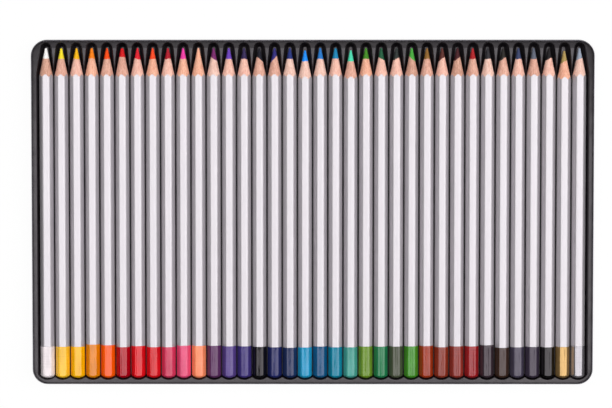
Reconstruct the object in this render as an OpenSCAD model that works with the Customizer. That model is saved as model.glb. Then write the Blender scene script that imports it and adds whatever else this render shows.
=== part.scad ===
// Colored pencil tin: a drawn tinplate base with its lift-off lid nested underneath, a thermoformed
// tray and a row of hexagonal colored pencils, each lying in its own well with the point towards +Y.
// The pencils are numbered from the -X end. Z is up and the lid's raised panel rests on Z = 0.

/* [Pencils] */
// Number of pencils side by side
pencil_count = 36; // [12:1:36]
// Barrel size across two opposite flat faces
barrel_flats = 6.8; // [6.4:0.1:7.2]
// How far the rounded edges stand out from the flat faces
edge_rise = 0.24; // [0.2:0.02:0.44]
// Length of a new pencil from point to dipped end
pencil_length = 175.4; // [110:0.2:180]
// Angle between the sharpened cone and the axis
cone_angle = 13.2; // [11:0.1:18]
// Diameter of the coloured core
core_d = 3.3; // [2.6:0.1:3.8]
// Diameter of the blunted point
point_d = 0.3; // [0.3:0.1:1]
// Thickness of the glue line between core and wood
glue_gap = 0.05; // [0.03:0.01:0.08]
// Thickness of the dipped colour on each face
dip_coat = 0.08; // [0.04:0.01:0.12]
// Radius of the domed end
dome_r = 5.2; // [4.4:0.1:8]
// Wood left between the end of the core and the dome
end_cover = 0.6; // [0.3:0.1:3]

/* [Tray] */
// Clear gap between the dipped ends of neighbouring pencils
pencil_gap = 0.59; // [0.2:0.01:1]
// Thickness of the formed plastic sheet
sheet_t = 0.4; // [0.3:0.05:0.5]
// Gap between a barrel's lower faces and the slopes of its well
slope_gap = 0.35; // [0.3:0.05:0.5]
// Height of the flange's top face above the pencils' axes
flange_rise = 1.6; // [0.8:0.1:2]
// Depth of the low ridges' crests below the pencils' axes
crest_drop = 1; // [0.9:0.05:1.4]
// Draft of the wells' upper walls
wall_draft = 8; // [3:1:10]
// Angle at which a well narrows beside the sharpened cone
taper_angle = 5; // [4:0.5:6]
// Radius of a well's rounded nose, at the flange
nose_r = 2.8; // [2.6:0.1:3.3]
// Width of the ledge between the two levels of a nose
nose_ledge = 0.4; // [0.3:0.1:1]
// Room between a point and the nose of its well, at the flange
point_room = 2.1; // [2:0.1:4]
// Room between a dome and the end of its well, at the flange
dome_room = 0.55; // [0.5:0.05:1.5]
// Distance from the first and last axis to the side walls, at the flange
side_reach = 4.9; // [4.6:0.1:8]
// Width of the flange beside the wells
side_flange = 2.1; // [2:0.05:12]
// Width of the flange in front of the noses
nose_flange = 0.55; // [0.5:0.05:10]
// Width of the flange behind the dipped ends
dome_flange = 1.65; // [1:0.05:10]
// Running gap between the tray and the rim of the base
tray_gap = 0.15; // [0.1:0.05:0.5]

/* [Tin] */
// Thickness of the tinplate
tin_t = 0.2; // [0.18:0.01:0.3]
// Outer radius of the corners of the base, in plan
corner_r = 8; // [6.5:0.5:12]
// Outer radius of the bottom edge of the base
edge_r = 1.2; // [0.8:0.1:1.6]
// Width of the flat ring that the base stands on
ring_w = 3; // [2:0.5:3.5]
// Depth of the step between ring and panel
panel_step = 0.8; // [0.5:0.1:1.2]
// Height of the rim above the tops of the pencils
rim_above = 0.3; // [0.1:0.1:4]
// Height of the folded hem round the rim of the base
base_hem_h = 1.8; // [1:0.1:1.8]
// Height of the folded hem round the edge of the lid
lid_hem_h = 1.6; // [1:0.1:2.5]
// Height of the lid's skirt above its ring
skirt_h = 4.8; // [4:0.1:8]
// Slip gap between lid and base
slip_gap = 0.15; // [0.1:0.05:0.4]

/* [Hidden] */
// One row per pencil: name, colour of the core, colour of the dipped end, length of the dipped end,
// sideways shift of the core in the wood, length lost to sharpening
PENCILS = [
    ["white", "white", "linen", 17.0, 0, 0],
    ["lemon_yellow", "yellow", "gold", 17.0, 0, 0],
    ["golden_yellow", "gold", "goldenrod", 17.0, 0, 0],
    ["orange", "darkorange", "orange", 18.2, 0, 0],
    ["vermilion", "orangered", "orangered", 17.8, 0, 0],
    ["scarlet", "red", "firebrick", 16.8, 0, 0],
    ["carmine", "crimson", "crimson", 17.4, 0.08, 0],
    ["coral_red", "tomato", "crimson", 16.8, 0, 0],
    ["rose_red", "crimson", "palevioletred", 16.8, 0, 0],
    ["pink", "hotpink", "deeppink", 17.6, 0, 0],
    ["peach", "lightsalmon", "coral", 17.5, 0, 0],
    ["plum", "purple", "indigo", 17.6, 0.15, 0],
    ["violet", "mediumpurple", "darkslateblue", 17.3, 0, 0],
    ["dark_violet", "darkslateblue", "indigo", 17.3, 0, 0],
    ["indigo", "midnightblue", "black", 17.0, 0.15, 0],
    ["ultramarine", "darkblue", "midnightblue", 16.8, -0.15, 0],
    ["prussian_blue", "navy", "midnightblue", 16.5, 0, 0],
    ["azure", "dodgerblue", "steelblue", 16.7, 0, 1.2],
    ["cobalt_blue", "royalblue", "steelblue", 17.2, 0, 0],
    ["cerulean", "teal", "darkcyan", 16.8, 0, 0],
    ["turquoise", "turquoise", "seagreen", 16.8, 0, 1.2],
    ["leaf_green", "green", "olivedrab", 17.2, 0, 0],
    ["emerald", "seagreen", "seagreen", 17.2, 0.08, 0],
    ["pine_green", "darkslategray", "darkolivegreen", 17.2, -0.15, 0],
    ["light_green", "limegreen", "forestgreen", 17.3, 0.15, 0],
    ["ochre", "peru", "sienna", 17.5, 0, 0],
    ["burnt_sienna", "brown", "saddlebrown", 16.8, -0.15, 0],
    ["umber", "maroon", "brown", 17.3, -0.15, 0],
    ["crimson", "firebrick", "maroon", 17.3, 0, 0],
    ["black", "dimgray", "darkslategray", 17.9, 0, 0],
    ["sepia", "black", "black", 16.5, -0.15, 0],
    ["slate_blue", "slateblue", "darkslateblue", 16.8, 0, 0],
    ["grey", "slategray", "darkslategray", 17.0, 0, 0],
    ["charcoal", "black", "black", 16.8, -0.15, 0],
    ["gold", "darkkhaki", "burlywood", 17.0, -0.15, 1.5],
    ["silver", "lightslategray", "silver", 17.4, -0.15, 0],
];
$fn = 64;
HEX = 6;
SLOPE = 60; // of a barrel's lower faces, from the horizontal
STEP_SLOPE = 45; // of the step between a pan's ring and panel
JOIN = 0.01; // overlap that welds the parts of one cut
MEET = 0.05; // overlap of neighbouring outlines where they run together
NECK = 0.97; // half width at which a nose's sides set out, as a share of its radius
CLEAR = 5; // how far a cut runs past the surface that it opens

// Pencils
barrel_r = barrel_flats / 2 + edge_rise; // over the rounded edges
pitch = 2 * (barrel_r + dip_coat) + pencil_gap;
first_x = -pitch * (pencil_count - 1) / 2;

// Heights, from the lid's panel upwards
lid_ring_z = panel_step;
base_ring_z = lid_ring_z + tin_t;
base_panel_z = base_ring_z + panel_step;
floor_z = base_panel_z + tin_t + sheet_t;
axis_z = floor_z + barrel_flats / 2 + dip_coat; // the dipped ends rest on the floors of the wells
crest_z = axis_z - crest_drop;
flange_z = axis_z + flange_rise;
rim_z = axis_z + barrel_flats / 2 + dip_coat + rim_above;

// Half widths of a well: its slopes lie parallel to the barrel's lower faces
floor_half = (barrel_flats / 2 - dip_coat) / tan(SLOPE) + slope_gap / sin(SLOPE);
crest_half = floor_half + (crest_z - floor_z) / tan(SLOPE);
dome_well_r = dome_r + dome_room;

// Plan, with Y measured from the middle of the tin
tray_y = nose_flange + point_room + pencil_length + dome_room + dome_flange;
point_y = tray_y / 2 - nose_flange - point_room;
nose_y = tray_y / 2 - nose_flange - nose_r;
dome_y = point_y - pencil_length;
dome_mid_y = dome_y + dome_r;
tray_x = 2 * (side_flange + side_reach - first_x);
tray_corner_r = corner_r - 2 * tin_t - tray_gap;

// The base goes round the tray, and the lid goes round the base
base_x = tray_x + 2 * (tray_gap + 2 * tin_t);
base_y = tray_y + 2 * (tray_gap + 2 * tin_t);
lid_offset = slip_gap + tin_t;

function two_digits(n) = str(n < 10 ? "0" : "", n);
function pencil_name(i) = str("pencil_", two_digits(i + 1), "_", PENCILS[i][0]);

// ---------------------------------------------------------------- pressed pans

// A pan: its wall section carried round a rectangle with rounded corners, and its flat middle. The
// section's X is the distance out from the centre of a corner, and its Y is the height.
module pan(size_x, size_y, r, panel_z) {
    run_x = size_x - 2 * r;
    run_y = size_y - 2 * r;
    for (k = [0:3]) {
        across = k % 2 == 0 ? run_x : run_y;
        length = k % 2 == 0 ? run_y : run_x;
        rotate([0, 0, 90 * k]) translate([across / 2, length / 2, 0]) {
            rotate_extrude(angle = 90) children();
            rotate([90, 0, 0]) linear_extrude(length) children();
        }
    }
    translate([-run_x / 2, -run_y / 2, panel_z]) cube([run_x, run_y, tin_t]);
}

// Section of a pan whose outer wall stands at wall_r: panel, sloping step, ring, rounded edge, wall
// and folded hem. The panel lies step above the ring, and the hem is folded out by 1 or in by 0.
module pan_section(wall_r, ring_z, step, bend_r, top_z, hem_h, hem_out) {
    bend_x = wall_r - bend_r;
    ring_x = bend_x - ring_w;
    step_x = ring_x - abs(step) / tan(STEP_SLOPE);
    mitre = sign(step) * tin_t * tan(STEP_SLOPE / 2);
    hem_x = wall_r - 2 * tin_t + hem_out * tin_t;
    polygon([
        [0, ring_z + step], [step_x, ring_z + step], [ring_x, ring_z], [bend_x, ring_z],
        [bend_x, ring_z + tin_t], [ring_x + mitre, ring_z + tin_t],
        [step_x + mitre, ring_z + step + tin_t], [0, ring_z + step + tin_t]
    ]);
    translate([bend_x, ring_z + bend_r]) intersection() {
        difference() {
            circle(bend_r);
            circle(bend_r - tin_t);
        }
        translate([0, -bend_r]) square(bend_r);
    }
    translate([wall_r - tin_t, ring_z + bend_r]) square([tin_t, top_z - tin_t - ring_z - bend_r]);
    translate([hem_x, top_z - hem_h]) square([2 * tin_t, hem_h - tin_t]);
    translate([hem_x + tin_t, top_z - tin_t]) intersection() {
        circle(tin_t);
        translate([-tin_t, 0]) square([2 * tin_t, tin_t]);
    }
}

module lid() {
    wall_r = corner_r + lid_offset;
    top_z = lid_ring_z + skirt_h;
    color("dimgray")
        pan(base_x + 2 * lid_offset, base_y + 2 * lid_offset, wall_r, 0)
            pan_section(wall_r, lid_ring_z, -panel_step, edge_r + tin_t, top_z, lid_hem_h, 1);
}

module tin_base() {
    color("dimgray")
        pan(base_x, base_y, corner_r, base_panel_z)
            pan_section(corner_r, base_ring_z, panel_step, edge_r, rim_z, base_hem_h, 0);
}

// ---------------------------------------------------------------- tray

function axis_x(i) = first_x + i * pitch;

// The wells are cut from a skin of the same form, so each form of a well takes grow, the distance
// that the skin lies outside the well. Each level of a well is a section carried along the tray
// inside the level's outline in plan.

// Outline of one nose: a round end and sides that widen to left_w and right_w at the distance run
module nose_plan(r, left_w, right_w, run) {
    circle(r);
    polygon([[-r * NECK, 0], [r * NECK, 0], [right_w, -run], [-left_w, -run]]);
}

// Outline from the noses to the scalloped ends, for wells of one half width. The first and the last
// well may have a wider outer side.
module wells_plan(r, half_w, side_w, grow) {
    run = (half_w - r * NECK) / tan(taper_angle);
    spare = grow + MEET;
    reach = run + MEET / tan(taper_angle);
    for (i = [0:pencil_count - 1]) translate([axis_x(i), 0]) {
        left_w = i == 0 ? side_w : half_w;
        right_w = i == pencil_count - 1 ? side_w : half_w;
        translate([0, nose_y]) nose_plan(r + grow, left_w + spare, right_w + spare, reach);
        translate([-left_w - spare, dome_mid_y])
            square([left_w + right_w + 2 * spare, nose_y - reach + JOIN - dome_mid_y]);
        translate([0, dome_mid_y]) circle(dome_well_r + grow);
    }
}

// Section across the row of troughs, up to their crests
module trough_row(grow) {
    foot = floor_half + grow / tan(SLOPE);
    knee = crest_half + grow / sin(SLOPE);
    for (i = [0:pencil_count - 1])
        translate([axis_x(i), 0])
            polygon([[-foot, floor_z - grow], [foot, floor_z - grow], [knee, crest_z], [-knee, crest_z]]);
}

// Section of the open mouth above the crests, carried to the height rise above the flange
module mouth_row(grow, rise) {
    foot_z = crest_z - grow;
    top_z = flange_z + rise;
    out = grow / cos(wall_draft);
    high = side_reach - first_x + out + rise * tan(wall_draft);
    low = high - (top_z - foot_z) * tan(wall_draft);
    polygon([[-low, foot_z], [low, foot_z], [high, top_z], [-high, top_z]]);
}

// Carries a section along the whole tray, and cuts it to an outline in plan
module along_tray() {
    intersection() {
        translate([0, tray_y / 2, 0]) rotate([90, 0, 0]) linear_extrude(tray_y) children(0);
        linear_extrude(2 * rim_z) children(1);
    }
}

module wells(grow, rise) {
    along_tray() {
        trough_row(grow);
        wells_plan(nose_r - nose_ledge, crest_half, crest_half, grow);
    }
    along_tray() {
        mouth_row(grow, rise);
        wells_plan(nose_r, pitch / 2, side_reach, grow);
    }
}

module tray_outline() {
    square([tray_x - 2 * tray_corner_r, tray_y], center = true);
    square([tray_x, tray_y - 2 * tray_corner_r], center = true);
    for (x = [-1, 1], y = [-1, 1])
        translate([x * (tray_x / 2 - tray_corner_r), y * (tray_y / 2 - tray_corner_r)])
            circle(tray_corner_r);
}

module pencil_tray() {
    color([0.2, 0.2, 0.22]) difference() {
        union() {
            translate([0, 0, flange_z - sheet_t]) linear_extrude(sheet_t) tray_outline();
            wells(sheet_t, 0);
        }
        wells(0, CLEAR);
    }
}

// ---------------------------------------------------------------- pencils

// Turns an axis along Z to lie along Y, pointing at the noses, at the height of the pencils' axes
module lay(i, y) {
    translate([axis_x(i), y, axis_z]) rotate([-90, 0, 0]) children();
}

// A hexagonal bar from z0 to z1 with two faces level, which a turned form rounds off
module hex_bar(flats, z0, z1) {
    translate([0, 0, z0]) cylinder(h = z1 - z0, d = flats / cos(180 / HEX), $fn = HEX);
}

// The turned form of a pencil of length l: cone, rounded edges and domed end
module turned(l, edge) {
    cone_l = edge / tan(cone_angle);
    tip_l = l - point_d / 2 / tan(cone_angle);
    rotate([0, 0, 180 / HEX]) rotate_extrude() {
        polygon([
            [0, dome_r - JOIN], [edge, dome_r - JOIN], [edge, l - cone_l], [point_d / 2, tip_l], [0, tip_l]
        ]);
        intersection() {
            translate([0, dome_r]) circle(dome_r);
            square([edge, dome_r]);
        }
    }
}

module pencil(i) {
    row = PENCILS[i];
    l = pencil_length - row[5];
    lay(i, dome_y) {
        difference() {
            union() {
                color("gainsboro") intersection() {
                    hex_bar(barrel_flats, row[3] - JOIN, l);
                    turned(l, barrel_r);
                }
                color(row[2]) intersection() {
                    hex_bar(barrel_flats + 2 * dip_coat, -CLEAR, row[3]);
                    turned(l, barrel_r + dip_coat);
                }
            }
            translate([row[4], 0, end_cover]) cylinder(h = l, d = core_d + 2 * glue_gap);
        }
        color(row[1]) intersection() {
            translate([row[4], 0, end_cover + glue_gap]) cylinder(h = l, d = core_d);
            turned(l, barrel_r);
        }
    }
}

lid();
tin_base();
pencil_tray();
for (i = [0:pencil_count - 1]) pencil(i);
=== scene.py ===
import math
import random

import bpy
import numpy as np
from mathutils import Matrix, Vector


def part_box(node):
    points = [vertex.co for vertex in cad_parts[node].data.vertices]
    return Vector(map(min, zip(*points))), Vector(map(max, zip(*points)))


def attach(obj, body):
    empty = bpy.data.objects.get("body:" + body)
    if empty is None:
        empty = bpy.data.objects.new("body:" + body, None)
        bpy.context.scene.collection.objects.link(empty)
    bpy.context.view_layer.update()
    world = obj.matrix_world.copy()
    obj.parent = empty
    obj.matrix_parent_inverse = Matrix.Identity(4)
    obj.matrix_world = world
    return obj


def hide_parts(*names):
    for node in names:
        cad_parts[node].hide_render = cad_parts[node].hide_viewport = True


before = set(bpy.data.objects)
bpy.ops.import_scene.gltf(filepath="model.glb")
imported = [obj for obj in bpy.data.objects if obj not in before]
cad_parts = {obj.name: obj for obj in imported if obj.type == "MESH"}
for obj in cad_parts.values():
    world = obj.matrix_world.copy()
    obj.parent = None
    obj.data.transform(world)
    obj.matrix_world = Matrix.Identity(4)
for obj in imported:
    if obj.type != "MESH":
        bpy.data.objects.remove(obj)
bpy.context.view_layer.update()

# The colored pencil tin: detailed pencils and a detailed formed tray in place of the imported solids,
# lacquer on base and lid (lightened by a painted reflection), a pale floor, two soft panels overhead
# and a camera above. Lengths are in millimetres until they reach a mesh, and in metres for the floor,
# the light and the camera.
MM = 0.001
NODES = sorted(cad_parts)
PENCIL_NODES = [n for n in NODES if n.startswith("pencil_") and n != "pencil_tray"]

# ------------------------------------------------------------------ sizes taken from the frame


def node_box(node):
    """Lowest and highest corner of a CAD node, in millimetres."""
    low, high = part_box(node)
    return Vector(low) / MM, Vector(high) / MM


FIRST_LOW, FIRST_HIGH = node_box(PENCIL_NODES[0])
LAST_LOW, LAST_HIGH = node_box(PENCIL_NODES[-1])
TRAY_LOW, TRAY_HIGH = node_box("pencil_tray")

DIP_COAT = 0.08  # thickness of the dipped colour
FLATS = (FIRST_HIGH.z - FIRST_LOW.z) - 2 * DIP_COAT
APOTHEM = FLATS / 2
AXIS_Z = (FIRST_LOW.z + FIRST_HIGH.z) / 2
FIRST_X = (FIRST_LOW.x + FIRST_HIGH.x) / 2
LAST_X = (LAST_LOW.x + LAST_HIGH.x) / 2
COUNT = len(PENCIL_NODES)
PITCH = (LAST_X - FIRST_X) / (COUNT - 1)
DOME_Y = FIRST_LOW.y
FLANGE_Z = TRAY_HIGH.z
SHEET = 0.4  # thickness of the formed sheet
FLOOR_Z = TRAY_LOW.z + SHEET

# ------------------------------------------------------------------ the pencils' sizes and colours

EDGE_R = 1.8  # rounding of the barrel's edges
CONE = math.radians(13.2)  # angle of the sharpened cone with the axis
CORE_R = 1.65
GLUE = 0.03  # gap between core and wood
POINT_R = 0.15  # radius of the sharpest point
CROWN = 0.06  # how far a dipped face falls from its middle to its sides
DOME_R = 5.2  # radius of the domed end
DOME_EDGE_R = 0.9  # rounding between the dome and the sides
BORE_END = 0.7  # distance of the bore's end from the top of the dome
CORE_END = 0.8  # distance of the core's inner end from the top of the dome
STRAIGHT_END = 9.0  # bore and core are straight rods up to this distance from the point
BARREL_RINGS = (17, 60, 110)  # distances of the lacquered barrel's rings from the point
DIP_RINGS = (6, 3.4)  # distances of the dip's last straight rings from the top of the dome

# the swell of paint at the dip line and the ripples beyond it: place along the pencil from the
# line, less than 0 towards the domed end, and thickness
BEAD = ((0.0, 0.0), (-0.10, 0.05), (-0.30, 0.10), (-0.65, 0.095), (-1.1, DIP_COAT))
RIPPLES = ((-1.5, 0.3), (-1.9, 0.0), (-2.3, 0.25), (-2.8, 0.0))  # in shares of RIPPLE on the coat
RIPPLE = 0.03

CORE_WAVE = 0.028  # largest height of each wave in the edge between core and wood
PAINT_WAVE = 0.10  # largest height of each wave in the lacquer's cut edge
PAINT_RUN = 0.6  # share of that height by which the edge moves along the pencil

# steps of the skins: cut wood from core to lacquer, cut core from wood to point, the blunted point,
# and the end from the dip's side (0) over the rounding (1) to the middle of the dome (2)
WOOD_STEPS = (0.25, 0.5, 0.75)
CORE_STEPS = (1, 0.8, 0.6, 0.4, 0.2, 0)
POINT_STEPS = (0.3, 0.6, 0.85)
DOME_STEPS = (0, 0.2, 0.4, 0.6, 0.8, 1, 1.2, 1.4, 1.6, 1.8, 1.93)

# name: core colour and dip colour (0 to 255, on screen), length of the dipped end, sideways shift
# of the core, strength of the drying rings, radius of the point
COLOURS = {
    "white": ((248, 242, 240), (230, 220, 222), 17.0, 0, 0.3, 0.5),
    "lemon_yellow": ((250, 222, 40), (246, 190, 40), 17.0, 0, 0.4, 0.42),
    "golden_yellow": ((246, 180, 10), (246, 180, 0), 17.0, 0, 0.4, 0.42),
    "orange": ((250, 128, 10), (220, 128, 0), 18.2, 0, 0.6, 0.5),
    "vermilion": ((255, 75, 10), (248, 88, 0), 17.8, 0, 0.5, 0.42),
    "scarlet": ((210, 20, 25), (170, 0, 20), 16.8, 0, 0.6, 0.75),
    "carmine": ((222, 30, 45), (215, 15, 25), 17.4, 0.08, 0.5, 0.42),
    "coral_red": ((252, 72, 30), (210, 15, 25), 16.8, 0, 0.4, 0.42),
    "rose_red": ((175, 24, 42), (204, 54, 90), 16.8, 0, 0.4, 0.42),
    "pink": ((240, 60, 165), (224, 74, 118), 17.6, 0, 0.4, 0.42),
    "peach": ((252, 176, 146), (255, 142, 98), 17.5, 0, 0.6, 0.42),
    "plum": ((118, 38, 104), (88, 44, 90), 17.6, 0.24, 0.3, 0.42),
    "violet": ((106, 64, 182), (84, 64, 132), 17.3, 0, 0.3, 0.42),
    "dark_violet": ((52, 40, 84), (60, 48, 118), 17.3, 0, 0.3, 0.42),
    "indigo": ((26, 26, 38), (14, 14, 18), 17.0, 0.28, 0.2, 0.42),
    "ultramarine": ((48, 42, 122), (28, 36, 94), 16.8, -0.42, 0.3, 0.42),
    "prussian_blue": ((35, 50, 120), (24, 42, 84), 16.5, 0, 0.3, 0.42),
    "azure": ((30, 142, 245), (30, 148, 192), 16.7, 0, 0.4, 0.42),
    "cobalt_blue": ((35, 118, 198), (10, 80, 124), 17.2, 0, 0.4, 0.42),
    "cerulean": ((25, 132, 178), (8, 128, 156), 16.8, 0, 0.4, 0.5),
    "turquoise": ((75, 216, 172), (66, 154, 142), 16.8, 0, 0.4, 0.42),
    "leaf_green": ((66, 138, 32), (104, 140, 36), 17.2, 0, 0.4, 0.42),
    "emerald": ((30, 90, 60), (28, 120, 74), 17.2, 0.16, 0.4, 0.42),
    "pine_green": ((46, 52, 50), (70, 78, 58), 17.2, -0.2, 0.3, 0.42),
    "light_green": ((70, 166, 60), (62, 138, 34), 17.3, 0.32, 0.4, 0.42),
    "ochre": ((140, 98, 42), (154, 50, 16), 17.5, 0, 0.7, 0.42),
    "burnt_sienna": ((90, 45, 40), (136, 48, 28), 16.8, -0.25, 0.8, 0.42),
    "umber": ((72, 30, 36), (140, 48, 38), 17.3, -0.22, 0.8, 0.42),
    "crimson": ((172, 30, 36), (150, 24, 28), 17.3, 0, 0.8, 0.42),
    "black": ((46, 45, 50), (54, 42, 50), 17.9, 0, 0.7, 0.42),
    "sepia": ((42, 38, 36), (58, 38, 28), 16.5, -0.22, 0.4, 0.42),
    "slate_blue": ((56, 66, 102), (66, 60, 78), 16.8, 0, 0.3, 0.42),
    "grey": ((95, 100, 115), (54, 45, 62), 17.0, 0, 0.3, 0.42),
    "charcoal": ((30, 27, 30), (9, 9, 9), 16.8, -0.18, 0.2, 0.42),
    "gold": ((172, 146, 86), (174, 140, 88), 17.0, -0.2, 0.5, 0.42),
    "silver": ((150, 160, 176), (154, 150, 156), 17.4, -0.15, 0.5, 0.42),
}
METALLIC_DIPS = ("gold", "silver")

# light and dark tone of each kind of cut wood, and the kind of each pencil from the left
WOODS = {
    "pale": ((252, 216, 202), (228, 178, 160)),
    "pink": ((254, 208, 190), (230, 168, 150)),
    "rose": ((240, 190, 170), (208, 148, 128)),
    "warm": ((254, 200, 172), (228, 156, 128)),
    "brown": ((230, 180, 158), (190, 136, 116)),
}
WOOD_OF = """
    brown rose pink warm rose rose pink warm pink warm warm pale
    pink pink rose rose pale pale pale pink rose warm pink pink
    brown rose pink brown rose pale rose pink rose pink warm pale
""".split()

# ------------------------------------------------------------------ the tray's sizes

NOSE_R = 2.7  # radius of a well's nose at the flange
NOSE_FLANGE = 0.55  # flange left in front of the noses
TAPER = math.radians(6.3)  # angle at which a well widens behind its nose
SIDE_REACH = 4.9  # from the first and last axis to the side walls
SIDE_RUN = 14.0  # length over which the side walls widen behind the first and last nose
DOME_ROOM = 0.55  # between a dome and the end of its well, at the flange
CREST_Z = AXIS_Z - 1.0  # top of the low ridges between the troughs
TROUGH_HALF = 3.98  # half width of a trough at its crests
TROUGH_NOSE_R = 2.4  # radius of a trough's nose
SLOPE = math.radians(60)  # of a trough's sides
WALL_RUN = 0.45  # how far the drafted upper wall leans in, and half the length of its bends
WALL_ROUND = 0.22
END_LEDGE = 0.1  # between the upper wall and the trough's wall at the domed end
END_RUN = 0.35  # how far the trough's wall leans in there, and half the length of its bends
END_ROUND = 0.16
CREST_ROUND = (0.22, 0.32)  # half the length of a trough's bends, far behind and near its nose,
CREST_ROUND_RUN = (14, 8)  # which changes between these distances behind the nose
TRAY_CORNER_R = 7.45
LEAN_WIDTH = 13.0  # the mesh's columns this near to the ends lean in to follow the round corners
EDGE_OUT = 0.1  # the flange reaches this much nearer to the hem than the solid

# where the flange is duller: beyond DULL_Y round the noses, and gradually from SIDE_DULL_Y to there
# outside the first and the last pencil
DULL_Y = 86.65
SIDE_DULL_Y = 30.0
SIDE_DULL_X = 1.5  # distance beyond the last axis
DULL_BLEND = 0.2
DULL_DEPTH = (0.5, 0.2)  # below the flange's top, from none to all of it
DULLER = 0.34  # added roughness

# ------------------------------------------------------------------ floor, light and camera sizes

FLOOR_HALF = 3.0
FLOOR_GLOW = 0.94  # share of plain white in what the camera sees of the floor
PANELS = (("panel_left", -1.69, 3.02), ("panel_right", 5.79, 11.22))  # name, middle, width
PANEL_DEPTH = 5.2
PANEL_PLACE = (0.7, 4.4)  # y and z
PANEL_POWER = 46  # watts for each metre of width
FILL = (0.5, 0.1)  # the world's strength at the horizon, and from the height FILL_TOP upwards
FILL_TOP = 0.35
CAMERA_LENS = 110.69
CAMERA_PLACE = (-0.00065, 0.0471, 1.0)
CAMERA_TURN = (-2.45, 0.163, 0)  # in degrees

# ------------------------------------------------------------------ colours and node helpers


def linear(rgb):
    """An on-screen colour of 0 to 255 as the linear colour that a shader takes."""
    out = []
    for c in rgb:
        c /= 255
        out.append(c / 12.92 if c <= 0.04045 else ((c + 0.055) / 1.055) ** 2.4)
    return (*out, 1.0)


def scaled(colour, k):
    return (*(min(1.0, c * k) for c in colour[:3]), 1.0)


class Nodes:
    """A material with a Principled shader and short calls that add and join nodes."""

    def __init__(self, name):
        self.material = bpy.data.materials.new(name)
        self.material.use_nodes = True
        self.tree = self.material.node_tree
        self.shader = self.tree.nodes["Principled BSDF"]

    def add(self, kind, **settings):
        node = self.tree.nodes.new(kind)
        for key, value in settings.items():
            setattr(node, key, value)
        return node

    def join(self, output, socket):
        self.tree.links.new(output, socket)

    def set(self, **values):
        for key, value in values.items():
            self.shader.inputs[key.replace("_", " ")].default_value = value

    def place(self, scale=(1, 1, 1)):
        """Object coordinates in millimetres, stretched by scale."""
        where = self.add("ShaderNodeTexCoord")
        mapping = self.add("ShaderNodeMapping")
        mapping.inputs["Scale"].default_value = [s / MM for s in scale]
        self.join(where.outputs["Object"], mapping.inputs["Vector"])
        return mapping.outputs["Vector"]

    def noise(self, place, scale, detail=3, rough=0.5, distortion=0):
        """A noise from 0 to 1 with scale waves to the millimetre."""
        node = self.add("ShaderNodeTexNoise")
        node.inputs["Scale"].default_value = scale
        node.inputs["Detail"].default_value = detail
        node.inputs["Roughness"].default_value = rough
        node.inputs["Distortion"].default_value = distortion
        self.join(place, node.inputs["Vector"])
        return node.outputs["Fac"]

    def mapped(self, value, source, target=(0, 1)):
        """The value brought from the range source to the range target, and held there."""
        node = self.add("ShaderNodeMapRange")
        node.inputs["From Min"].default_value, node.inputs["From Max"].default_value = source
        node.inputs["To Min"].default_value, node.inputs["To Max"].default_value = target
        self.join(value, node.inputs["Value"])
        return node.outputs["Result"]

    def math(self, operation, *values):
        node = self.add("ShaderNodeMath", operation=operation)
        for value, socket in zip(values, node.inputs):
            self.join(value, socket)
        return node.outputs[0]

    def mix(self, factor, one, other):
        """Mixes two colours, each a colour or a node's output."""
        node = self.add("ShaderNodeMix", data_type="RGBA")
        factor_socket, one_socket, other_socket = node.inputs[0], *node.inputs[6:8]
        self.join(factor, factor_socket)
        for value, socket in ((one, one_socket), (other, other_socket)):
            if isinstance(value, tuple):
                socket.default_value = value
            else:
                self.join(value, socket)
        return node.outputs[2]

    def bump(self, height, strength, distance, under=None):
        """A normal from a height, whose full range is distance millimetres, over another normal."""
        node = self.add("ShaderNodeBump")
        node.inputs["Strength"].default_value = strength
        node.inputs["Distance"].default_value = distance * MM
        self.join(height, node.inputs["Height"])
        if under is not None:
            self.join(under, node.inputs["Normal"])
        return node.outputs["Normal"]

    def colour(self, output):
        self.join(output, self.shader.inputs["Base Color"])

    def roughness(self, output):
        self.join(output, self.shader.inputs["Roughness"])

    def normal(self, output):
        self.join(output, self.shader.inputs["Normal"])


# ------------------------------------------------------------------ materials


def barrel_lacquer():
    """Silver-grey lacquer, with faint draw marks along the barrel and a little orange peel."""
    m = Nodes("barrel_lacquer")
    base = linear((193, 188, 193))
    streaks = m.noise(m.place((1, 0.02, 1)), scale=2.2, detail=4, rough=0.6)
    clouds = m.noise(m.place((1, 0.25, 1)), scale=0.12, detail=2)
    tone = m.mix(m.mapped(streaks, (0.3, 0.7)), scaled(base, 0.94), scaled(base, 1.04))
    m.colour(m.mix(m.mapped(clouds, (0.35, 0.65), (0, 0.5)), tone, scaled(base, 0.96)))
    m.roughness(m.mapped(streaks, (0.3, 0.7), (0.32, 0.42)))
    m.normal(m.bump(m.noise(m.place(), scale=3.5, detail=2), strength=0.10, distance=0.02))
    m.set(Metallic=0.48)
    return m.material


def wood(name, light, dark):
    """Cut casing wood: grain along the pencil, darker late-wood lines and the sharpener's marks."""
    m = Nodes(name)
    grain = m.noise(m.place((1, 0.10, 1)), scale=1.6, detail=5, rough=0.65, distortion=0.6)
    lines = m.noise(m.place((1, 0.03, 1)), scale=4.5, detail=3, rough=0.6)
    tone = m.mix(m.mapped(grain, (0.36, 0.64)), linear(light), linear(dark))
    m.colour(m.mix(m.mapped(lines, (0.5, 0.7), (0, 0.65)), tone, scaled(linear(dark), 0.72)))
    m.roughness(m.mapped(grain, (0.3, 0.7), (0.62, 0.8)))
    turning = m.add("ShaderNodeTexWave", wave_type="BANDS", bands_direction="Y")
    turning.inputs["Scale"].default_value = 0.9
    turning.inputs["Distortion"].default_value = 2.5
    m.join(m.place(), turning.inputs["Vector"])
    fibres = m.bump(lines, strength=0.35, distance=0.05)
    m.normal(m.bump(turning.outputs["Fac"], strength=0.18, distance=0.04, under=fibres))
    m.set(Specular_IOR_Level=0.25)
    return m.material


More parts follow.
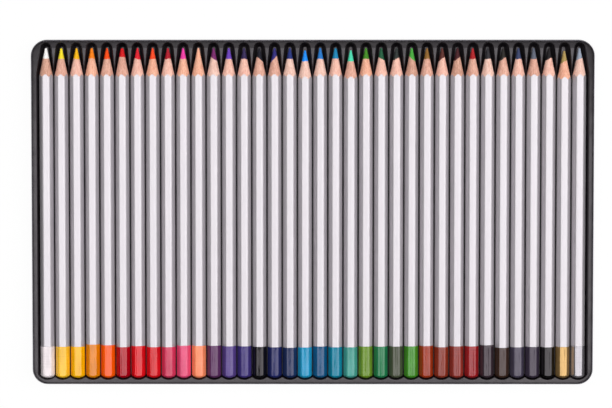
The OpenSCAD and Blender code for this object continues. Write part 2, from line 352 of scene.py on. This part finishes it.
def core(name, rgb):
    """Waxy pigment core, cut in small ridges by the sharpener, with pale dust in them."""
    m = Nodes(name)
    base = linear(rgb)
    dust = m.noise(m.place((1, 0.35, 1)), scale=2.6, detail=4, rough=0.7)
    m.colour(m.mix(m.mapped(dust, (0.35, 0.7)), scaled(base, 0.9), scaled(base, 1.12)))
    m.roughness(m.mapped(dust, (0.3, 0.7), (0.55, 0.7)))
    ridges = m.noise(m.place((0.4, 1.4, 0.4)), scale=2.2, detail=3, rough=0.6)
    m.normal(m.bump(ridges, strength=0.3, distance=0.05))
    m.set(Specular_IOR_Level=0.2)
    return m.material


def dip(name, rgb, rings, metallic):
    """Dipped gloss colour, darker in places, with faint rings where it dried in stages."""
    m = Nodes(name)
    base = linear(rgb)
    depth = m.noise(m.place((1, 0.3, 1)), scale=0.35, detail=3)
    tone = m.mix(m.mapped(depth, (0.35, 0.65)), scaled(base, 0.9), scaled(base, 1.08))
    band = m.noise(m.place((0.02, 1.6, 0.02)), scale=0.8, detail=2, rough=0.4)
    m.colour(m.mix(m.mapped(band, (0.56, 0.70), (0, 0.5 * rings)), tone, scaled(base, 0.62)))
    m.roughness(m.mapped(depth, (0.3, 0.7), (0.06, 0.11)))
    unevenness = m.noise(m.place((1, 0.12, 1)), scale=0.9, detail=2)
    m.normal(m.bump(unevenness, strength=0.35, distance=0.12))
    m.set(Metallic=0.6 if metallic else 0.0, Specular_Tint=(1, 0.93, 0.99, 1))
    return m.material


def tray_plastic():
    """Formed black sheet: soft gloss, fine grain, shallow waves of forming and duller places."""
    m = Nodes("tray_plastic")
    fine = m.noise(m.place(), scale=3.0, detail=3)
    clouds = m.noise(m.place((0.3, 1, 1)), scale=0.15, detail=3)
    m.colour(m.mix(m.mapped(clouds, (0.35, 0.65)), linear((15, 12, 15)), linear((21, 17, 21))))
    gloss = m.mapped(clouds, (0.3, 0.7), (0.3, 0.44))
    where = m.add("ShaderNodeSeparateXYZ")
    m.join(m.place(), where.inputs["Vector"])
    x, y, z = (where.outputs[axis] for axis in "XYZ")
    strip = m.mapped(y, (DULL_Y, DULL_Y + DULL_BLEND))
    high = m.mapped(z, [FLANGE_Z - below for below in DULL_DEPTH], (0, DULLER))
    side_x = LAST_X + SIDE_DULL_X
    sides = m.mapped(m.math("ABSOLUTE", x), (side_x, side_x + 1))
    sides = m.math("MULTIPLY", sides, m.mapped(y, (SIDE_DULL_Y, DULL_Y)))
    dull = m.math("MULTIPLY", m.math("MAXIMUM", strip, sides), high)
    m.roughness(m.math("ADD", gloss, dull))
    waves = m.noise(m.place((1, 0.6, 1)), scale=0.22, detail=2, rough=0.4, distortion=0.8)
    grained = m.bump(fine, strength=0.12, distance=0.02)
    m.normal(m.bump(waves, strength=0.35, distance=0.5, under=grained))
    m.set(Specular_IOR_Level=0.68, Specular_Tint=(1, 0.94, 0.99, 1))
    return m.material


def tin_lacquer_and_painted_reflection(name):
    """Satin black lacquer on tinplate, with orange peel and light rubbing. Its base is lightened from
    black to a dark grey, a painted reflection that brightens the hem.
    """
    m = Nodes(name)
    # dark grey rather than black: painted reflection of bright surroundings on the hem
    base = linear((84, 81, 88))
    rubbed = m.noise(m.place(), scale=0.12, detail=4, rough=0.6)
    m.colour(m.mix(m.mapped(rubbed, (0.4, 0.7)), base, scaled(base, 1.7)))
    m.roughness(m.mapped(rubbed, (0.3, 0.7), (0.3, 0.42)))
    m.normal(m.bump(m.noise(m.place(), scale=1.4, detail=2), strength=0.12, distance=0.03))
    m.set(Metallic=0.6, Coat_Weight=0.4, Coat_Roughness=0.25)
    return m.material


# ------------------------------------------------------------------ meshes from rings


def placed(name, data):
    """A new object in the scene with the data, which is a mesh, a lamp or a camera."""
    obj = bpy.data.objects.new(name, data)
    bpy.context.scene.collection.objects.link(obj)
    return obj


def sector_angles(apothem, edge_r):
    """Directions from the axis to a rounded hexagon's points, on its flats and round its edges."""
    turn = math.radians(30)
    flat = math.atan((apothem - edge_r) * math.tan(turn) / apothem)
    on_flat = [k * flat for k in (-1, -0.8, -0.3, 0.3, 0.8, 1)]
    on_edge = [flat + (turn - flat) * k for k in (0.33, 0.67, 1, 1.33, 1.67)]
    return [turn + 2 * turn * side + a for side in range(6) for a in on_flat + on_edge]


ANGLES = sector_angles(APOTHEM, EDGE_R)


def hex_radius(angle, grow=0.0, crown=0.0):
    """Distance from the axis to the rounded hexagon's surface, with two flats level."""
    turn = math.radians(30)
    off = abs((angle - turn + turn) % (2 * turn) - turn)
    apothem, edge_r = APOTHEM + grow, EDGE_R + grow
    half = (apothem - edge_r) * math.tan(turn)
    across = apothem * math.tan(off)
    if across <= half:
        return (apothem - crown * (across / half) ** 2) / math.cos(off)
    middle = (apothem - edge_r) / math.cos(turn)
    lean = turn - off
    return middle * math.cos(lean) + math.sqrt(edge_r**2 - (middle * math.sin(lean)) ** 2)


def ring(function):
    """A ring of (distance along the pencil from its domed end, x, z) round the axis. The function
    gives that distance and the radius for a direction."""
    out = []
    for angle in ANGLES:
        along, radius = function(angle)
        out.append((along, radius * math.cos(angle), radius * math.sin(angle)))
    return out


def skin(name, rings, first_cap, last_cap, place, material_of, materials, sharp=()):
    """A closed mesh through rings, with a fan at each end, put at place. material_of gives a band's
    material, and sharp lists the rings whose edges stay crisp."""
    n = len(ANGLES)
    points = [p for r in rings for p in r] + [first_cap, last_cap]
    faces, kinds = [], []
    for k in range(len(rings) - 1):
        for j in range(n):
            i = (j + 1) % n
            faces.append((k * n + j, k * n + i, (k + 1) * n + i, (k + 1) * n + j))
            kinds.append(material_of(k))
    last = (len(rings) - 1) * n
    for j in range(n):
        i = (j + 1) % n
        faces.append((len(points) - 2, i, j))
        kinds.append(material_of(0))
        faces.append((len(points) - 1, last + j, last + i))
        kinds.append(material_of(len(rings) - 2))
    x, y, z = place
    corners = [((x + u) * MM, (y + along) * MM, (z + v) * MM) for along, u, v in points]
    mesh = bpy.data.meshes.new(name)
    mesh.from_pydata(corners, [], faces)
    for material in materials:
        mesh.materials.append(material)
    mesh.polygons.foreach_set("material_index", kinds)
    mesh.polygons.foreach_set("use_smooth", [True] * len(faces))
    crisp = {frozenset((k * n + j, k * n + (j + 1) % n)) for k in sharp for j in range(n)}
    for edge in mesh.edges:
        edge.use_edge_sharp = frozenset(edge.vertices) in crisp
    mesh.update()
    return placed(name, mesh)


# ------------------------------------------------------------------ pencils


def build_pencil(number, node, look, barrel, wood_material):
    """Casing and core of one pencil, each its own closed mesh, in the place of its CAD node."""
    core_rgb, dip_rgb, dip_length, shift, rings_shown, point_r = look
    low, high = node_box(node)
    length = high.y - low.y
    place = ((low.x + high.x) / 2, low.y, AXIS_Z)
    draw = random.Random(number)

    def drawn_waves(size, counts):
        return [(k, draw.uniform(-size, size), draw.uniform(0, 2 * math.pi)) for k in counts]

    core_waves = drawn_waves(CORE_WAVE, (2, 3, 5))
    paint_waves = drawn_waves(PAINT_WAVE, (3, 5, 8))
    cone = math.atan((APOTHEM - point_r) * math.tan(CONE) / (APOTHEM - POINT_R))
    nose_r = point_r / (math.cos(cone) - (1 - math.sin(cone)) * math.tan(cone))

    def wavy(parts, angle):
        return sum(size * math.sin(k * angle + phase) for k, size, phase in parts)

    def bore_radius(angle, r):
        return shift * math.cos(angle) + math.sqrt(r**2 - (shift * math.sin(angle)) ** 2)

    def cone_along(radius):
        return length - (radius - point_r) / math.tan(cone)

    # casing: bore, cut wood, lacquer, dip and dome
    def mouth(angle):
        radius = bore_radius(angle, CORE_R + GLUE / 2) + wavy(core_waves, angle)
        return cone_along(radius), radius

    def cut(share):
        def at(angle):
            inner, outer = mouth(angle)[1], hex_radius(angle)
            radius = inner + (outer - inner) * share
            return cone_along(radius) + share * wavy(paint_waves, angle) * PAINT_RUN, radius
        return at

    def barrel_at(along, grow=0.0, crown=0.0):
        return lambda angle: (along, hex_radius(angle, grow, crown))

    def bore_at(along):
        return lambda angle: (along, bore_radius(angle, CORE_R + GLUE))

    def dome_at(step):
        """Step 0 is the dipped side's end, 1 the end of its rounding, 2 the middle of the dome."""
        def at(angle):
            side = hex_radius(angle, DIP_COAT, CROWN)
            round_to = math.asin((side - DOME_EDGE_R) / (DOME_R - DOME_EDGE_R))
            centre_r = side - DOME_EDGE_R
            centre_along = DOME_R - (DOME_R - DOME_EDGE_R) * math.cos(round_to)
            if step <= 1:
                lean = math.pi / 2 + (round_to - math.pi / 2) * step
                along = centre_along - DOME_EDGE_R * math.cos(lean)
                return along, centre_r + DOME_EDGE_R * math.sin(lean)
            lean = round_to * (2 - step)
            return DOME_R - DOME_R * math.cos(lean), DOME_R * math.sin(lean)
        return at

    forms = [bore_at(along) for along in (BORE_END, length / 2, length - STRAIGHT_END)]
    bore_edge = len(forms)
    forms += [mouth] + [cut(share) for share in WOOD_STEPS]
    paint_edge = len(forms)
    forms += [cut(1)] + [barrel_at(length - back) for back in BARREL_RINGS]
    dip_line = len(forms)
    forms += [barrel_at(dip_length + along, coat) for along, coat in BEAD]
    for along, share in RIPPLES:
        coat = DIP_COAT + RIPPLE * share * rings_shown
        forms.append(barrel_at(dip_length + along, coat, CROWN))
    forms += [barrel_at(along, DIP_COAT, CROWN) for along in DIP_RINGS]
    forms += [dome_at(step) for step in DOME_STEPS]

    def material_of(band):
        if band < paint_edge:
            return 1
        return 0 if band < dip_line else 2

    dip_material = dip(f"{node}_dip", dip_rgb, rings_shown, node.endswith(METALLIC_DIPS))
    casing = skin(
        f"{node}_casing_mesh",
        [ring(f) for f in forms],
        (BORE_END, shift, 0),
        (0, 0, 0),
        place,
        material_of,
        [barrel, wood_material, dip_material],
        sharp=(bore_edge, paint_edge, dip_line),
    )

    # core: its flat inner end, the rod, the cut cone and the blunted point
    def rod_at(along):
        return lambda angle: (along, bore_radius(angle, CORE_R))

    def core_cone(share):
        def at(angle):
            inner = nose_r * math.cos(cone)
            radius = inner + (mouth(angle)[1] - GLUE - inner) * share
            return cone_along(radius), radius
        return at

    def tip(share):
        lean = cone + (math.pi / 2 - cone) * share
        return lambda angle: (length - nose_r * (1 - math.sin(lean)), nose_r * math.cos(lean))

    core_forms = [rod_at(along) for along in (CORE_END, length / 2, length - STRAIGHT_END)]
    core_forms += [core_cone(share) for share in CORE_STEPS]
    core_forms += [tip(share) for share in POINT_STEPS]
    rod = skin(
        f"{node}_core_mesh",
        [ring(f) for f in core_forms],
        (CORE_END, shift, 0),
        (length, 0, 0),
        place,
        lambda band: 0,
        [core(f"{node}_core", core_rgb)],
        sharp=(0,),
    )
    return casing, rod


# ------------------------------------------------------------------ tray


def rounded_ramp(p, run, drop, half_round):
    """0 before p = 0, drop after p = run, and straight between, with both bends rounded."""
    slope = drop / run
    low = slope * (p + half_round) ** 2 / (4 * half_round)
    high = drop - slope * (run + half_round - p) ** 2 / (4 * half_round)
    out = np.where(p < -half_round, 0.0, np.where(p < half_round, low, slope * p))
    out = np.where(p > run - half_round, high, out)
    return np.where(p > run + half_round, drop, out)


def tapered_nose(u, y, nose_y, radius, taper):
    """Distance to a round nose whose sides widen by taper towards the pencil, below 0 inside."""
    across, ahead = np.abs(u), y - nose_y
    on_side = across * np.cos(taper) + ahead * np.sin(taper) - radius
    past = -across * np.sin(taper) + ahead * np.cos(taper)
    return np.where(past > 0, np.hypot(across, ahead) - radius, on_side)


def tray_height(x, y, grow):
    """Height of the tray's upper face, or of the lower face's form where the wells are grown."""
    nose_y = TRAY_HIGH.y - NOSE_FLANGE - NOSE_R
    dome_y = DOME_Y + DOME_R
    cell = np.clip(np.round((x - FIRST_X) / PITCH), 0, COUNT - 1)
    u = x - (FIRST_X + cell * PITCH)
    outer = ((cell == 0) & (u < 0)) | ((cell == COUNT - 1) & (u > 0))
    side_taper = math.atan((SIDE_REACH - NOSE_R) / SIDE_RUN)
    taper = np.where(outer, side_taper, TAPER)
    behind = np.hypot(u, np.minimum(y - dome_y, 0))
    upper = tapered_nose(u, y, nose_y, NOSE_R, taper)
    upper = np.maximum(upper, np.where(outer, np.abs(u) - SIDE_REACH, -PITCH))
    upper = np.maximum(upper, behind - (DOME_R + DOME_ROOM))
    z = FLANGE_Z - rounded_ramp(grow - upper, WALL_RUN, FLANGE_Z - CREST_Z, WALL_ROUND)
    side = tapered_nose(u, y, nose_y, TROUGH_NOSE_R, TAPER)
    side = np.maximum(side, np.abs(u) - TROUGH_HALF)
    depth = CREST_Z - FLOOR_Z
    bend = np.interp(y, [nose_y - run for run in CREST_ROUND_RUN], CREST_ROUND)
    sloped = rounded_ramp(grow / math.sin(SLOPE) - side, depth / math.tan(SLOPE), depth, bend)
    end = behind - (DOME_R + DOME_ROOM - WALL_RUN - END_LEDGE)
    return z - np.minimum(sloped, rounded_ramp(grow - end, END_RUN, depth, END_ROUND))


def spaced(stops, end):
    """Values through the stops, each (value, step), to the end, with steps up to the stop's own."""
    out = []
    for (start, step), (stop, _) in zip(stops, [*stops[1:], (end, None)]):
        count = max(1, math.ceil(abs(stop - start) / step - 1e-6))
        out += [start + (stop - start) * k / count for k in range(count)]
    return [*out, end]


def tray_grid():
    """Where the points of the tray's mesh lie in plan, as rows from the points' end."""
    edge_x, edge_y = TRAY_HIGH.x + EDGE_OUT, TRAY_HIGH.y + EDGE_OUT
    nose_top = edge_y - NOSE_FLANGE
    dome_low = DOME_Y - DOME_ROOM
    # fine steps round the noses and the domed ends, coarse ones along the straight troughs
    stops = [(edge_y, 0.3), (nose_top + 0.3, 0.32), (nose_top - 6, 1.1), (nose_top - 18, 60)]
    stops += [(dome_low + 8, 1.2), (dome_low + 3, 0.25), (dome_low - 0.3, 0.7)]
    ys = spaced(stops, -edge_y)
    cells_start, cells_end = FIRST_X - PITCH / 2, LAST_X + PITCH / 2
    xs = spaced([(-edge_x, 0.5), (cells_start, PITCH / 20), (cells_end, 0.5)], edge_x)
    x, y = np.meshgrid(xs, ys)
    # columns near the ends lean in to follow the round corners
    into = np.clip(TRAY_CORNER_R - (edge_y - np.abs(y)), 0, TRAY_CORNER_R)
    reach = edge_x - TRAY_CORNER_R + np.sqrt(TRAY_CORNER_R**2 - into**2)
    fixed = edge_x - LEAN_WIDTH
    past = np.maximum(np.abs(x) - fixed, 0)
    x = np.sign(x) * (np.minimum(np.abs(x), fixed) + past * (reach - fixed) / (edge_x - fixed))
    return x, y


def build_tray(material):
    """The formed sheet as two height fields, its upper and lower face, joined round the edge."""
    x, y = tray_grid()
    top = tray_height(x, y, 0.0)
    bottom = tray_height(x, y, SHEET) - SHEET
    rows, columns = x.shape
    points = [np.stack([x, y, z], -1).reshape(-1, 3) for z in (top, bottom)]
    points = np.concatenate(points) * MM
    index = np.arange(rows * columns).reshape(rows, columns)
    corners = [index[:-1, :-1], index[1:, :-1], index[1:, 1:], index[:-1, 1:]]
    upper = np.stack(corners, -1).reshape(-1, 4)
    lower = upper[:, ::-1] + rows * columns
    loop = np.concatenate([index[0, :-1], index[:-1, -1], index[-1, :0:-1], index[:0:-1, 0]])
    after = np.roll(loop, -1)
    rim = np.stack([loop, after, after + rows * columns, loop + rows * columns], -1)
    faces = np.concatenate([upper, lower, rim])
    mesh = bpy.data.meshes.new("formed_tray")
    mesh.from_pydata(points.tolist(), [], faces.tolist())
    mesh.materials.append(material)
    mesh.polygons.foreach_set("use_smooth", [True] * len(faces))
    rim_edges = {frozenset(e) for e in zip(loop.tolist(), after.tolist())}
    for edge in mesh.edges:
        if frozenset(edge.vertices) in rim_edges:
            edge.use_edge_sharp = True
    mesh.update()
    return placed("formed_tray", mesh)


# ------------------------------------------------------------------ putting it together

tray = build_tray(tray_plastic())
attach(tray, "pencil_tray")
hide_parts("pencil_tray")

barrel = barrel_lacquer()
woods = {name: wood(f"wood_{name}", *tones) for name, tones in WOODS.items()}
for number, (node, timber) in enumerate(zip(PENCIL_NODES, WOOD_OF)):
    prefix, place_in_row, colour_name = node.split("_", 2)
    body = f"{prefix}_{place_in_row}"
    look = COLOURS[colour_name]
    casing, rod = build_pencil(number, node, look, barrel, woods[timber])
    for piece in (casing, rod):
        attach(piece, body)
    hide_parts(node)

for node in ("tin_base", "lid"):
    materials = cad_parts[node].data.materials
    materials.clear()
    materials.append(tin_lacquer_and_painted_reflection(f"{node}_lacquer"))

# ------------------------------------------------------------------ floor, light and camera


def build_floor():
    """A pale floor, nearly plain white to the camera, that keeps a trace of the tin's shadow."""
    m = Nodes("floor_white")
    speckle = m.noise(m.place(), scale=0.02, detail=2)
    m.colour(m.mix(speckle, (0.93, 0.93, 0.93, 1), (0.96, 0.96, 0.96, 1)))
    m.set(Roughness=0.9, Specular_IOR_Level=0.1)
    seen = m.add("ShaderNodeLightPath").outputs["Is Camera Ray"]
    share = m.add("ShaderNodeMath", operation="MULTIPLY")
    share.inputs[1].default_value = FLOOR_GLOW
    m.join(seen, share.inputs[0])
    white = m.add("ShaderNodeEmission")
    both = m.add("ShaderNodeMixShader")
    m.join(share.outputs[0], both.inputs[0])
    m.join(m.shader.outputs[0], both.inputs[1])
    m.join(white.outputs[0], both.inputs[2])
    m.join(both.outputs[0], m.tree.nodes["Material Output"].inputs["Surface"])
    mesh = bpy.data.meshes.new("floor")
    corners = [(x * FLOOR_HALF, y * FLOOR_HALF, 0) for x, y in ((-1, -1), (1, -1), (1, 1), (-1, 1))]
    mesh.from_pydata(corners, [], [(0, 1, 2, 3)])
    mesh.materials.append(m.material)
    floor = placed("floor", mesh)


def build_light():
    """Two soft panels above, the wide one to the right, and a fill, stronger at the horizon."""
    for name, middle, width in PANELS:
        lamp = bpy.data.lights.new(name, "AREA")
        lamp.shape = "RECTANGLE"
        lamp.size, lamp.size_y = width, PANEL_DEPTH
        lamp.energy = PANEL_POWER * width
        placed(name, lamp).location = (middle, *PANEL_PLACE)
    world = bpy.data.worlds.new("studio")
    bpy.context.scene.world = world
    world.use_nodes = True
    tree = world.node_tree
    where = tree.nodes.new("ShaderNodeTexCoord")
    parts = tree.nodes.new("ShaderNodeSeparateXYZ")
    tree.links.new(where.outputs["Generated"], parts.inputs["Vector"])
    strength = tree.nodes.new("ShaderNodeMapRange")
    strength.inputs["From Max"].default_value = FILL_TOP
    strength.inputs["To Min"].default_value, strength.inputs["To Max"].default_value = FILL
    tree.links.new(parts.outputs["Z"], strength.inputs["Value"])
    tree.links.new(strength.outputs["Result"], tree.nodes["Background"].inputs["Strength"])


def build_camera():
    """Above the tin, a little nearer to the points' end and turned back towards the middle."""
    camera = bpy.data.cameras.new("camera")
    camera.sensor_fit = "HORIZONTAL"
    camera.sensor_width = 36
    camera.lens = CAMERA_LENS
    obj = placed("camera", camera)
    obj.location = CAMERA_PLACE
    obj.rotation_euler = [math.radians(turn) for turn in CAMERA_TURN]
    bpy.context.scene.camera = obj


build_floor()
build_light()
build_camera()
bpy.context.scene.view_settings.view_transform = "Standard"
